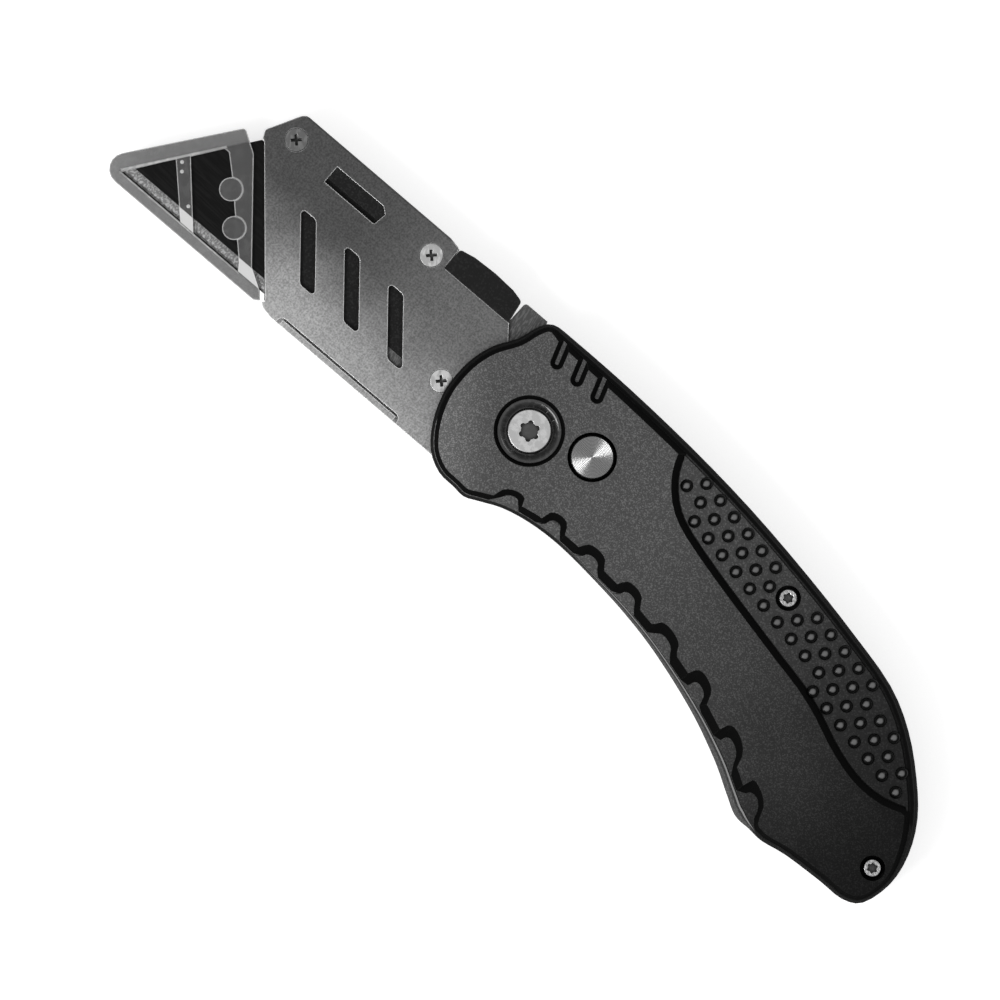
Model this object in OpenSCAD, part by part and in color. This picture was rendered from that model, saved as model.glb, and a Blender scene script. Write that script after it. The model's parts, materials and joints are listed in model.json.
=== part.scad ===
// Folding utility knife with a button lock, a rocking blade release, a trapezoid blade and its guard.
// Modelled about the pivot: +X to the tail of the handle, +Y to the spine, +Z out of the front side.

/* [Blade] */
// Length of the blade along its cutting edge
blade_l = 61; // [59:0.5:63]
// Width of the blade from its back to its cutting edge
blade_w = 19; // [18.6:0.1:19.2]
// Thickness of the blade
blade_t = 0.6; // [0.5:0.05:0.65]
// Angle at the two ends of the cutting edge
tip_angle = 52.9; // [51:0.1:54]
// Width of the ground bevel along the edge
bevel_w = 1.75; // [1:0.05:2.2]
// Width of each notch in the back of the blade
notch_w = 2.6; // [2.4:0.1:3]
// Depth of each notch
notch_d = 2; // [1.6:0.1:2.4]
// Distance between the two notches
notch_pitch = 8; // [7:0.1:9]
// Height of the blade's back over the pivot axis
blade_back = 7.9; // [7.7:0.05:8.1]
// Distance from the pivot axis to the rear end of the cutting edge
blade_heel = 17.7; // [17.2:0.1:18.5]

/* [Blade holder] */
// Thickness of each steel plate
plate_t = 1; // [0.9:0.05:1.1]
// Distance between the two plates, which the tang and the carrier fill
core_t = 2.4; // [2.2:0.05:2.6]
// Height of the holder's spine over the pivot axis
spine_h = 15.7; // [15.5:0.05:15.9]
// Distance from the cutting edge down to the belly of the plates
belly_drop = 2.25; // [2.2:0.05:2.6]
// How far the plates' front edge lies behind the blade's tip, at the blade's back
plate_setback = 14.55; // [14:0.05:15.5]
// Angle of the plates' front edge and of the three slots
rake = 50.4; // [48:0.2:53]
// Width of each slot, along the holder
slot_w = 3.15; // [2.4:0.05:3.6]
// Distance from one slot to the next
slot_pitch = 9.4; // [9:0.1:9.8]
// Running clearance between the blade and its channel, on each side
channel_gap = 0.1; // [0.06:0.01:0.15]

/* [Guard] */
// Thickness of the guard
guard_t = 3; // [2.6:0.1:3.4]
// Width of the guard's rim in front of the blade
rim_w = 2.85; // [2.4:0.05:3.2]
// Width of the guard's rail under the cutting edge
rail_w = 1.9; // [1.6:0.05:2.1]
// Radius of the two bosses on the guard's web
boss_r = 1.95; // [1.5:0.05:2.2]
// How far a boss stands out of the guard's web
boss_h = 0.2; // [0.1:0.05:0.4]

/* [Handle] */
// Thickness of the handle over both scales
handle_t = 17; // [16:0.1:18]
// Width of the slot between the scales
cavity_t = 5; // [4.9:0.05:5.2]
// Distance from the pivot axis to the tail
tail_x = 93; // [91:0.5:97]
// Height of the raised face over the ledge that runs round it
face_step = 1.3; // [1:0.05:1.5]
// Depth of the thumb grooves
groove_d = 1.1; // [0.6:0.05:1.2]
// Depth of the grip pad's surface under the raised face
pad_drop = 1; // [0.6:0.05:1.1]
// Thickness of the grip pad
pad_t = 1.1; // [0.8:0.05:1.5]
// Radius of each dome on the grip pad, at its foot
dome_r = 0.9; // [0.7:0.05:1]
// Height of each dome
dome_h = 0.6; // [0.3:0.05:0.8]
// Thickness of the backspacer, along the spine
backspacer_w = 2.6; // [2:0.1:2.8]

/* [Pivot] */
// Radius of the pivot barrel
pivot_r = 3; // [2.8:0.05:3.2]
// Radius of the pivot's two heads
pivot_head_r = 3.8; // [3.6:0.05:4]
// Wall of the bush that turns on the barrel
bush_wall = 0.9; // [0.7:0.05:1]
// Outer radius of the collar round each head
collar_r = 5.3; // [5.1:0.05:5.4]
// Outer radius of the washers beside the tang
washer_r = 7.3; // [6:0.1:7.5]
// Running clearance of pins in their bores
fit = 0.05; // [0.03:0.01:0.08]

/* [Lock] */
// Distance from the pivot axis to the lock button's axis
lock_reach = 11.13; // [11:0.01:11.3]
// Direction of the lock button from the pivot, up from the tail's direction
lock_angle = 17.8; // [16:0.2:19]
// Radius of the lock button's head
lock_head_r = 3.65; // [3.4:0.05:3.75]
// Radius of its stem
lock_stem_r = 1.5; // [1.3:0.05:1.55]
// Radius of the collar on the stem, which locks the tang
lock_collar_r = 3.2; // [3:0.05:3.25]
// Thickness of that collar
lock_collar_t = 2.2; // [1.8:0.05:2.3]
// How far the button comes out when it locks
lock_travel = 1.1; // [0.9:0.05:1.3]
// How far the holder folds into the handle
fold_angle = 168; // [160:1:168]

/* [Release lever] */
// How far the lever rocks from pressed to latched
lever_angle = 4; // [3:0.1:4]
// Thickness of the latch
latch_t = 0.6; // [0.5:0.05:0.7]
// Width of the release button, across the holder
button_t = 5.4; // [5:0.1:5.8]

/* [Screws] */
// Radius of the holder screws' heads
holder_head_r = 1.9; // [1.7:0.05:1.95]
// Radius of the holder screws' shanks
holder_shank_r = 1; // [0.8:0.05:1.1]
// Radius of the handle screws' heads
handle_head_r = 1.65; // [1.5:0.05:1.75]
// Radius of the handle screws' shanks
handle_shank_r = 1; // [0.8:0.05:1.1]
// Radius of the threaded posts between the scales
post_r = 1.9; // [1.7:0.05:2]
// Radius of the stop pin
stop_r = 1.5; // [1.4:0.05:1.6]

/* [Hidden] */
$fn = 64;
eps = 0.02;

// --- Curves and outlines ---

function unit(v) = v / norm(v);
function polar(r, a) = r * [cos(a), sin(a)];
function arc(c, r, a0, a1, n = 12) = [for (i = [0:n]) c + polar(r, a0 + (a1 - a0) * i / n)];
function reversed(p) = [for (i = [len(p) - 1:-1:0]) p[i]];
function slice(p, first, last) = [for (i = [first:last]) p[i]];

// One corner b of a polygon, turned into an arc of radius r
function corner(a, b, c, r, n = 6) =
    let (u = unit(a - b), v = unit(c - b), half = acos(u * v) / 2)
    let (m = b + unit(u + v) * r / sin(half), p = b + u * r / tan(half), q = b + v * r / tan(half))
    let (a0 = atan2(p.y - m.y, p.x - m.x), a1 = atan2(q.y - m.y, q.x - m.x))
    arc(m, r, a0, a0 + (a1 - a0 + 540) % 360 - 180, n);

// A closed outline whose points carry a corner radius as their third number
function rounded(p) = [
    for (i = [0:len(p) - 1])
        let (a = p[(i + len(p) - 1) % len(p)], b = p[i], c = p[(i + 1) % len(p)])
        each b[2] > 0 ? corner([a.x, a.y], [b.x, b.y], [c.x, c.y], b[2]) : [[b.x, b.y]],
];

// A Catmull-Rom curve through points of any dimension, with its own number of steps from each to the next
function blend(a, b, c, d, t) =
    (2 * b + (c - a) * t + (2 * a - 5 * b + 4 * c - d) * t * t + (3 * b - a - 3 * c + d) * t * t * t) / 2;
function smooth_loop(p, steps) = [
    for (i = [0:len(p) - 1], k = [0:steps[i] - 1])
        blend(p[(i + len(p) - 1) % len(p)], p[i], p[(i + 1) % len(p)], p[(i + 2) % len(p)], k / steps[i]),
];
function smooth_open(p, n) = [
    for (i = [0:len(p) - 2], k = [0:(i == len(p) - 2 ? n : n - 1)])
        blend(p[max(i - 1, 0)], p[i], p[i + 1], p[min(i + 2, len(p) - 1)], k / n),
];

// Direction to the left of a path at point i: into an outline that runs anticlockwise
function left_of(p, i, closed) =
    let (a = closed ? p[(i + len(p) - 1) % len(p)] : p[max(i - 1, 0)])
    let (b = closed ? p[(i + 1) % len(p)] : p[min(i + 1, len(p) - 1)])
    let (t = unit([b.x - a.x, b.y - a.y]))
    [-t.y, t.x];
function moved_left(p, d, closed = false) = [
    for (i = [0:len(p) - 1]) [p[i].x, p[i].y] + left_of(p, i, closed) * d,
];
// A strip of even thickness t along a path
function strip(p, t) = concat(moved_left(p, -t / 2), reversed(moved_left(p, t / 2)));

function inside(q, p) = len([
    for (i = [0:len(p) - 1])
        let (a = p[i], b = p[(i + 1) % len(p)])
        if ((a.y > q.y) != (b.y > q.y) && q.x < a.x + (b.x - a.x) * (q.y - a.y) / (b.y - a.y)) 1,
]) % 2 == 1;

// --- Levels, from the mid-plane outwards ---

core_z = core_t / 2;
plate_z = core_z + plate_t;
cavity_z = cavity_t / 2;
face_z = handle_t / 2;
ledge_z = face_z - face_step;
channel_z = blade_t / 2 + channel_gap;
guard_z = guard_t / 2;

// --- Blade ---

edge_y = blade_back - blade_w;
tip_x = -blade_heel - blade_l;
slant = blade_w / tan(tip_angle);
latch_notch_x = (tip_x - blade_heel) / 2 + notch_pitch / 2;
edge_land = 0.02;

// --- Blade holder ---

belly_y = edge_y - belly_drop;
nose_x = tip_x + plate_setback;
function front_x(y) = nose_x + (blade_back - y) / tan(rake);
screw_drop = 4.2;
front_screw = [nose_x + 4.15, spine_h - screw_drop];
lever_axis = [-30.9, spine_h - screw_drop];
tang_screw = [-16.3, -3.1];
holder_screw_at = [front_screw, lever_axis, tang_screw];
head_proud = 0.15;

button_x0 = -27.5;
button_x1 = -14.45;
button_y = spine_h - 4.3;
button_top = spine_h + 0.35;
notch_gap = 0.42;
button_lip = 0.5;
notch_floor = button_y - 0.1;
lever_tail = [button_y + 0.6, button_y + 2];
lever_tail_end = button_x1 - 1.9;

flange_x0 = -42.9;
flange_x1 = -17.8;
flange_t = 1;
flange_gap = 0.35;
flange_top = belly_y + flange_t + flange_gap;

window = [-52, spine_h - 6.4, 11, 3.2];
tab_h = 2.4;
slot_mid = [-46.6, -1.25];
slot_h = 9.7;
slot_count = 3;

// Radius about the pivot at which each plate ends, clear of the lock's stem or of its collar
stem_clear_r = lock_reach + lock_stem_r + 0.5;
collar_clear_r = lock_reach + lock_collar_r + 0.2;
rear_rise = 1.03;
rear_a = 180 + asin(-(belly_y + rear_rise) / collar_clear_r);
tang_disc_r = 9.4;
slot_r = lock_stem_r + 0.17;
open_stop = 69;
finger_r = 15;
finger_a = asin(-(belly_y + 0.11) / finger_r) - 180;
closed_lock = lock_angle - fold_angle;
lock_at = polar(lock_reach, lock_angle);
stop_at = polar(11.1, 60);

core_gap = 0.5;
core_bottom = flange_top + 0.1;
carrier_setback = 0.8;
fork_x = -29;
fork_y = -4.5;
fork_root = [button_x1 - 0.9, notch_floor - 2.5];

// --- Guard ---

guard_bottom = edge_y - rail_w;
guard_gap = 0.1;
web_gap = 1.9;
nose_r = 2.7;
// The corner that the rim's nose rounds, the rim's upper corner, and the slant from one to the other
guard_nose = [tip_x - rail_w / tan(tip_angle) - rim_w / sin(tip_angle), guard_bottom];
guard_corner = [tip_x + slant - 3.3, blade_back - 0.3];
rim_angle = atan2(guard_corner.y - guard_nose.y, guard_corner.x - guard_nose.x);

// --- Handle ---

// The outline runs anticlockwise from the underside of the tail. Past grip_x it stretches with the
// handle's length. The third number is 1 where a ledge runs along the spine, and 0 elsewhere.
grip_x = 20;
drawn_tail = 93;
function st(x) = x < grip_x ? x : grip_x + (x - grip_x) * (tail_x - grip_x) / (drawn_tail - grip_x);
handle_points = [
    [84, -25.1, 0], [88.5, -25, 0], [91.6, -23.2, 0], [93, -18, 0], [92.2, -12.5, 0.6], [89.5, -7, 1],
    [85, -2, 1], [79, 3, 1], [72, 6.7, 1], [62, 9.2, 1], [50, 11.6, 1], [36, 13.8, 1], [22, 15.2, 1],
    [8, 15.95, 1], [-4, 16.1, 0.8], [-8.3, 15.8, 0], [-10.1, 13.6, 0], [-11.2, 10.4, 0], [-13.5, 6.8, 0],
    [-14.75, 3.1, 0], [-15.1, -0.6, 0], [-14.7, -4.6, 0], [-13, -9.1, 0], [-10.3, -12.8, 0], [-6.9, -14.7, 0],
    [-3.6, -14.95, 0], [-1.2, -15.1, 0], [1.2, -14.05, 0], [5, -12.4, 0], [10, -11.35, 0], [16, -11.05, 0],
    [24, -11.65, 0], [32, -12.7, 0], [40, -14.45, 0], [50, -17.65, 0], [58, -21.2, 0], [63.5, -24.35, 0],
    [66.6, -26, 0], [69.5, -26.15, 0], [72.5, -26.3, 0], [77, -25.5, 0],
];
outline_steps = 3;
// The belly, which has the finger notches, is drawn in finer steps
belly_from = 27;
belly_pitch = 0.5;
// Finger notches in the raised face along the belly: where each starts, its width and its depth
notches = [
    [2.4, 4.6, 1.95], [10.8, 4.3, 2.1], [18.8, 4.9, 1.85], [27.5, 4.8, 1.95], [36.1, 5.7, 1.95], [45.7, 5.1, 2.35],
    [55.5, 5.8, 2.65], [64.2, 5.4, 2.9],
];
// How far a notch's foot keeps inside its brim, at its start and at its end
notch_foot = [1, 0.5];
notch_brim = [0, 0];
// Widths along the belly, as shares of their most: of the belt that leans in, and of the shoulder above it
belt = [[20, 0], [30, 0.2], [40, 0.3], [50, 0.5], [60, 0.88], [67, 1], [69, 0.3], [70.5, 0]];
shoulder = [
    [-3, 0], [0, 0.1], [8, 0.2], [17, 0.32], [26, 0.5], [34.5, 0.53], [43.5, 0.74], [53.5, 0.82], [62.7, 1],
    [67, 0.9], [70.5, 0.05], [73, 0],
];
belly_top = -10;
handle_outline = smooth_loop(
    [for (p = handle_points) [st(p.x), p.y, p[2]]],
    [for (i = [0:len(handle_points) - 1])
        i >= belly_from && i < len(handle_points) - 2
            ? ceil((handle_points[i + 1].x - handle_points[i].x) / belly_pitch) : outline_steps]
);
handle_curve = [for (p = handle_outline) [p.x, p.y]];

// Where a notch, whose foot is trimmed at its two ends, takes the point q of a line that climbs by the slope
function notched(q, slope, trim) =
    let (here = [for (n = notches) if (q.x > st(n[0]) && q.x < st(n[0]) + n[1]) n])
        len(here) == 0 ? q
            : let (n = here[0], u = (q.x - st(n[0])) / n[1], dx = trim[0] * (1 - u) - trim[1] * u)
                q + [dx, slope * dx + n[2] * pow(1 - pow(abs(2 * u - 1), 2.5), 0.4)];
function slope_at(i) =
    let (n = len(handle_curve), d = handle_curve[(i + 1) % n] - handle_curve[(i + n - 1) % n]) d.y / d.x;
// The outline moved inwards: by a, by b more at the ledge, and along the belly by c times a share and by the notches
function handle_inset(a, b = 0, c = 0, shares = belt, trim = undef) = [
    for (i = [0:len(handle_outline) - 1])
        let (p = handle_outline[i], q = handle_curve[i] + left_of(handle_curve, i, true) * (a + b * p[2]))
        p.y > belly_top ? q
            : let (r = q + [0, c * lookup(q.x, [for (s = shares) [st(s[0]), s[1]]])])
                trim == undef ? r : notched(r, slope_at(i), trim),
];

// Lower edge of the grip pad, from the spine to the tail
pad_points = [
    [22.2, 12.9], [23.1, 10.8], [24.9, 8.4], [27.5, 6.2], [31.2, 4.6], [38.2, 2.7], [46.4, 0.8],
    [55.5, -1.2], [61.2, -2.4], [66.4, -4.1], [70.5, -5.9], [75, -7.4], [79, -8.1], [83, -7.9], [86.6, -6.8],
];
pad_edge = smooth_open([for (p = pad_points) [st(p.x), p.y]], 2);
pad_inset = 1.7;
pad_rim = slice(handle_inset(pad_inset), 5 * outline_steps, 12 * outline_steps);
pad_outline = concat(pad_edge, pad_rim);
pad_z = face_z - pad_drop;
pad_floor = pad_z - pad_t;
pad_wall = 1.15;

dome_start = [24.1, 12.9];
dome_step = [3.5, -0.62];
dome_row = [1.25, -3];
dome_margin = 0.55;

groove_at = [for (k = [0:2]) [-3.8 + 4.3 * k, 11.4]];
groove_lean = 18;
groove_r0 = 0.35;
groove_r1 = 1.1;

handle_screw_at = [[st(49.9), 6.7], [tail_x - 4, -17.9]];
post_boss_r = 3.2;
post_seat = 2.1;
counterbore_r = handle_head_r + 0.45;
screw_seat = face_z - 2.5;
spacer_inset = 0.4;

pivot_seat = face_z - 3.3;
pivot_head_z = face_z - 2.2;
pivot_head_t = 1.3;
collar_top = face_z - 1.6;
recess_flare = 0.5;
pivot_thread_r = 1.5;

lock_head_z = face_z - 0.1;
lock_head_t = 2.2;
lock_bore_r = lock_head_r + 0.4;
spring_floor = cavity_z + 1.4;
lock_collar_z = -core_z - 0.15;
lock_pocket = -cavity_z - 1.7;
stem_end = lock_pocket - 1.9;

// Shift that sets the part on the ground with its origin under its centre
x_min = guard_nose.x + nose_r / tan(rim_angle / 2) - nose_r;
x_max = max([for (p = handle_curve) p.x]);
y_min = min([for (p = handle_curve) p.y]);
y_max = max([for (p = handle_curve) p.y]);
to_ground = [-(x_min + x_max) / 2, -(y_min + y_max) / 2, face_z];
module placed() translate(to_ground) children();

// --- Shared shapes ---

// A slab of an outline from height z0 to z1
module slab(p, z0, z1) translate([0, 0, z0]) linear_extrude(z1 - z0) polygon(p);
module rod(c, r, z0, z1) translate([c.x, c.y, z0]) cylinder(r = r, h = z1 - z0);
module cone(c, r0, r1, z0, z1) translate([c.x, c.y, z0]) cylinder(r1 = r0, r2 = r1, h = z1 - z0);

// Triangles that fill a long outline, from its edge between points j and i at the right-hand end:
// each step goes on along the upper or the lower side, whichever lags behind
function filled(p, i, j) =
    let (n = len(p), a = (i + 1) % n, b = (j + n - 1) % n)
    a == b ? [[j, i, a]]
        : p[a].x > p[b].x ? concat([[j, i, a]], filled(p, a, j)) : concat([[b, j, i]], filled(p, i, b));
function cap(p) =
    let (right = max([for (q = p) q.x]), i = [for (k = [0:len(p) - 1]) if (p[k].x == right) k][0])
    filled(p, i, (i + len(p) - 1) % len(p));

// A solid through rings of equally many points, each a list of [outline, height]
module loft(rings) {
    n = len(rings[0][0]);
    top = len(rings) - 1;
    polyhedron(
        points = [for (ring = rings, p = ring[0]) [p.x, p.y, ring[1]]],
        faces = concat(
            cap(rings[0][0]),
            [for (k = [0:top - 1], i = [0:n - 1]) [k * n + i, (k + 1) * n + i, (k + 1) * n + (i + 1) % n]],
            [for (k = [0:top - 1], i = [0:n - 1]) [k * n + i, (k + 1) * n + (i + 1) % n, k * n + (i + 1) % n]],
            [for (t = cap(rings[top][0])) [for (i = reversed(t)) top * n + i]]
        )
    );
}

// A six-lobed socket, cut down from height z
module lobed_socket(c, r, z, depth) translate([c.x, c.y, z - depth]) linear_extrude(depth + 1) {
    circle(r = r * 0.78);
    for (k = [0:5]) rotate(60 * k) translate([r * 0.76, 0]) circle(r = r * 0.24, $fn = 24);
}

// A cross-shaped recess, cut down from height z
module cross_recess(c, size, z, depth) for (a = [45, 135])
    translate([c.x, c.y, z]) rotate(a) translate([-size / 2, -size / 8, -depth]) cube([size, size / 4, depth + 1]);

module mirrored() mirror([0, 0, 1]) children();

// --- Handle ---

module scale_blank() loft([
    [handle_curve, cavity_z],
    [handle_curve, cavity_z + 2.3],
    [handle_inset(0.25, 0.15, 0.6), ledge_z - 0.8],
    [handle_inset(0.5, 0.3, 1.2), ledge_z],
    [handle_inset(0.65, 0.65, 1.2, belt, notch_foot), ledge_z],
    [handle_inset(1.3, 1, 1.9, shoulder, notch_brim), face_z],
]);

// The pad's pocket, and the sloping wall and open rim above it
module pad_pocket() {
    slab(pad_outline, pad_floor, ledge_z + 0.1);
    far = [[tail_x + 6, 12], [40, 24]];
    edge = concat([[st(21.6), 18]], pad_edge, [[tail_x, -7]]);
    loft([
        [concat(moved_left(edge, -0.1), far), ledge_z + 0.05],
        [concat(moved_left(edge, -0.1 - pad_wall), far), face_z + 0.05],
    ]);
}

module groove_cuts() for (p = groove_at) translate([p.x, p.y, 0]) rotate(groove_lean) {
    cone([0, 0], groove_r0, groove_r1, face_z - groove_d, face_z + 0.01);
    rotate([-90, 0, 0]) linear_extrude(8) polygon([
        [-groove_r0, groove_d - face_z], [groove_r0, groove_d - face_z],
        [groove_r1, -face_z - 0.01], [-groove_r1, -face_z - 0.01],
    ]);
}

module pivot_cuts() {
    rod([0, 0], pivot_r + fit, cavity_z - 1, face_z);
    rod([0, 0], collar_r + fit, pivot_seat, face_z + 1);
    cone([0, 0], collar_r + fit, collar_r + fit + recess_flare, collar_top + 0.4, face_z + 0.01);
}

module handle_screw_cuts() for (p = handle_screw_at) {
    rod(p, post_r + fit, cavity_z - 1, cavity_z + post_seat + fit);
    rod(p, handle_shank_r + fit, cavity_z, screw_seat + 1);
    rod(p, counterbore_r, screw_seat, face_z + 1);
}

module stop_pin_cut() rod(stop_at, stop_r + fit, cavity_z - 1, cavity_z + 2 + fit);

module plain_scale() difference() {
    scale_blank();
    pad_pocket();
    groove_cuts();
    pivot_cuts();
    handle_screw_cuts();
    stop_pin_cut();
}

module front_scale() placed() color([0.17, 0.17, 0.18]) difference() {
    plain_scale();
    rod(lock_at, lock_stem_r + fit, cavity_z - 1, spring_floor + 1);
    rod(lock_at, lock_bore_r, spring_floor, face_z + 1);
}

module back_scale() placed() color([0.17, 0.17, 0.18]) difference() {
    mirrored() plain_scale();
    rod(lock_at, lock_collar_r + 0.15, lock_pocket, -cavity_z + 1);
    rod(lock_at, lock_stem_r + fit, stem_end - 0.3, lock_pocket + 1);
}

module grip_pad() {
    domes = [
        for (i = [-1:18], j = [0:5])
            let (c = dome_start + i * dome_step + j * dome_row, p = [st(c.x), c.y])
            if (inside(p, concat(moved_left(pad_edge, dome_margin), reversed(moved_left(reversed(pad_rim), -dome_margin))))
                && min([for (s = handle_screw_at) norm(p - s)]) > counterbore_r + dome_margin) p,
    ];
    difference() {
        intersection() {
            slab(moved_left(pad_outline, fit, true), pad_floor, pad_z + dome_h + 1);
            union() {
                slab(moved_left(pad_outline, -1, true), pad_floor - 1, pad_z);
                for (p = domes) cone(p, dome_r, dome_r * 0.4, pad_z - eps, pad_z + dome_h);
            }
        }
        rod(handle_screw_at[0], counterbore_r, pad_floor - 1, pad_z + dome_h + 1);
    }
}
module front_grip_pad() placed() color([0.11, 0.11, 0.12]) grip_pad();
module back_grip_pad() placed() color([0.11, 0.11, 0.12]) mirrored() grip_pad();

module backspacer() placed() color([0.12, 0.12, 0.13]) {
    first = outline_steps;
    last = 13 * outline_steps;
    outer = slice(handle_inset(spacer_inset), first, last);
    inner = slice(handle_inset(spacer_inset + backspacer_w), first, last);
    difference() {
        union() {
            slab(concat(outer, reversed(inner)), -cavity_z, cavity_z);
            for (p = handle_screw_at) rod(p, post_boss_r, -cavity_z, cavity_z);
        }
        for (p = handle_screw_at) rod(p, post_r + fit, -cavity_z - 1, cavity_z + 1);
    }
}

module handle_posts() placed() color("silver") for (p = handle_screw_at) difference() {
    rod(p, post_r, -cavity_z - post_seat, cavity_z + post_seat);
    rod(p, handle_shank_r + fit, -face_z, face_z);
}

module handle_screws() for (p = handle_screw_at) difference() {
    union() {
        rod(p, handle_head_r, screw_seat, screw_seat + 1);
        cone(p, handle_head_r, handle_head_r - 0.3, screw_seat + 1, screw_seat + 1.3);
        rod(p, handle_shank_r, cavity_z - 1.5, screw_seat + eps);
    }
    lobed_socket(p, handle_head_r * 0.55, screw_seat + 1.3, 0.8);
}
module front_handle_screws() placed() color("silver") handle_screws();
module back_handle_screws() placed() color("silver") mirrored() handle_screws();

module stop_pin() placed() color("silver") rod(stop_at, stop_r, -cavity_z - 2, cavity_z + 2);

// --- Pivot ---

module pivot_head() {
    rod([0, 0], pivot_head_r, pivot_head_z, pivot_head_z + pivot_head_t - 0.35);
    cone([0, 0], pivot_head_r, pivot_head_r - 0.35, pivot_head_z + pivot_head_t - 0.35, pivot_head_z + pivot_head_t);
}

module pivot_barrel() placed() color("silver") difference() {
    union() {
        mirrored() pivot_head();
        rod([0, 0], pivot_r, -pivot_head_z - eps, pivot_head_z - 0.1);
    }
    rod([0, 0], pivot_thread_r + fit, -1.5, face_z);
    mirrored() lobed_socket([0, 0], 1.75, pivot_head_z + pivot_head_t, 1);
}

module pivot_screw() placed() color("silver") difference() {
    union() {
        pivot_head();
        rod([0, 0], pivot_thread_r, -1, pivot_head_z + eps);
    }
    lobed_socket([0, 0], 1.75, pivot_head_z + pivot_head_t, 1);
}

module pivot_collar() difference() {
    rod([0, 0], collar_r, pivot_seat, collar_top);
    rod([0, 0], pivot_r + fit, pivot_seat - 1, face_z);
    rod([0, 0], pivot_head_r + fit, pivot_head_z, face_z);
    cone([0, 0], pivot_head_r + fit, collar_r - 0.3, pivot_head_z, collar_top + 0.01);
}
module front_pivot_collar() placed() color([0.08, 0.08, 0.09]) pivot_collar();
module back_pivot_collar() placed() color([0.08, 0.08, 0.09]) mirrored() pivot_collar();

module washer() difference() {
    rod([0, 0], washer_r, core_z + fit, cavity_z);
    rod([0, 0], pivot_r + fit, 0, face_z);
}
module front_washer() placed() color("goldenrod") washer();
module back_washer() placed() color("goldenrod") mirrored() washer();

// --- Lock, drawn pressed: it comes out by lock_travel to lock ---

module lock_button() placed() color("silver") {
    rod(lock_at, lock_head_r, lock_head_z - lock_head_t, lock_head_z - 0.3);
    cone(lock_at, lock_head_r, lock_head_r - 0.25, lock_head_z - 0.3, lock_head_z);
    rod(lock_at, lock_stem_r, stem_end, lock_head_z - lock_head_t + eps);
}

module lock_collar() placed() color("gray") difference() {
    rod(lock_at, lock_collar_r, lock_collar_z - lock_collar_t, lock_collar_z);
    rod(lock_at, lock_stem_r, -face_z, face_z);
}

// A coil of turns round the lock's stem, with eight-sided wire
module coil(radius, wire_r, z0, z1, turns, steps = 14, sides = 8) {
    rings = turns * steps;
    points = [
        for (i = [0:rings], k = [0:sides - 1])
            let (a = 360 * i / steps, b = 360 * k / sides, r = radius + wire_r * cos(b))
            [r * cos(a), r * sin(a), z0 + wire_r + (z1 - z0 - 2 * wire_r) * i / rings + wire_r * sin(b)],
    ];
    polyhedron(points = points, faces = concat(
        [[for (k = [0:sides - 1]) k]],
        [for (i = [0:rings - 1], k = [0:sides - 1])
            [i * sides + k, (i + 1) * sides + k, (i + 1) * sides + (k + 1) % sides, i * sides + (k + 1) % sides]],
        [[for (k = [sides - 1:-1:0]) rings * sides + k]]
    ));
}

module lock_spring() placed() color("silver") translate([lock_at.x, lock_at.y, 0])
    coil((lock_stem_r + lock_bore_r) / 2, 0.25, spring_floor, lock_head_z - lock_head_t, 3);

// --- Blade holder ---

// A slot that leans with the front edge, with level ends
function slot_outline(x) =
    let (dx = slot_h / 2 / tan(rake), w = slot_w / 2, y0 = slot_mid.y - slot_h / 2, y1 = slot_mid.y + slot_h / 2)
    rounded([[x + dx - w, y0, 1.2], [x + dx + w, y0, 0.5], [x - dx + w, y1, 1.2], [x - dx - w, y1, 0.5]]);

function window_outline(y0, y1) = [
    [window.x, y0], [window.x + window[2] - 0.4, y0], [window.x + window[2], y1 - 0.9],
    [window.x + window[2] - 1.1, y1], [window.x, y1],
];

// Outline of a plate whose rear edge keeps clear_r from the pivot below its axis
function plate_outline(clear_r) = concat(
    rounded([
        [front_x(belly_y + 1.3), belly_y + 1.3, 0.3],
        [front_x(belly_y + 0.4) + 0.6, belly_y + 0.4, 0.8],
        [front_x(belly_y) + 2.2, belly_y, 1.2],
        [clear_r * cos(rear_a) - 1, belly_y, 0],
        [clear_r * cos(rear_a), clear_r * sin(rear_a), 0],
    ]),
    slice(arc([0, 0], clear_r, rear_a, 180, 8), 1, 8),
    arc([0, 0], stem_clear_r, 180, 146, 6),
    rounded([
        [button_x1 + notch_gap, notch_floor, 0],
        [button_x0 - notch_gap, notch_floor, 0.4],
        [button_x0 - notch_gap - 0.1, spine_h - 0.4, 0.6],
        [button_x0 - notch_gap - 2.4, spine_h, 2],
        [nose_x + 2.6, spine_h, 1.6],
        [nose_x - 0.85, blade_back + 1.6, 0.7],
        [nose_x - 0.1, blade_back + 0.05, 0.5],
    ])
);

module plate_cuts() {
    for (k = [0:slot_count - 1]) slab(slot_outline(slot_mid.x + k * slot_pitch), 0, plate_z + 1);
    slab(window_outline(window.y, window.y + window[3]), 0, plate_z + 1);
}

module front_plate() placed() color([0.62, 0.62, 0.62]) difference() {
    slab(plate_outline(stem_clear_r), core_z, plate_z);
    plate_cuts();
    slab(rounded([
        [flange_x0 - 0.6, belly_y - 1, 0], [flange_x1 + 0.6, belly_y - 1, 0], [flange_x1, flange_top, 0.9],
        [flange_x0, flange_top, 0.9],
    ]), 0, plate_z + 1);
    for (p = holder_screw_at)
        cone(p, holder_shank_r + fit, holder_head_r + fit, core_z - eps, plate_z + eps);
}

module back_plate() placed() color([0.62, 0.62, 0.62]) difference() {
    union() {
        slab(plate_outline(collar_clear_r), -plate_z, -core_z);
        translate([flange_x0 + 0.4, belly_y, -plate_z])
            cube([flange_x1 - flange_x0 - 0.8, flange_t, 2 * plate_z]);
    }
    mirrored() plate_cuts();
    for (p = holder_screw_at) rod(p, holder_shank_r + fit, -plate_z - 1, -core_z + 1);
}

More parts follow.
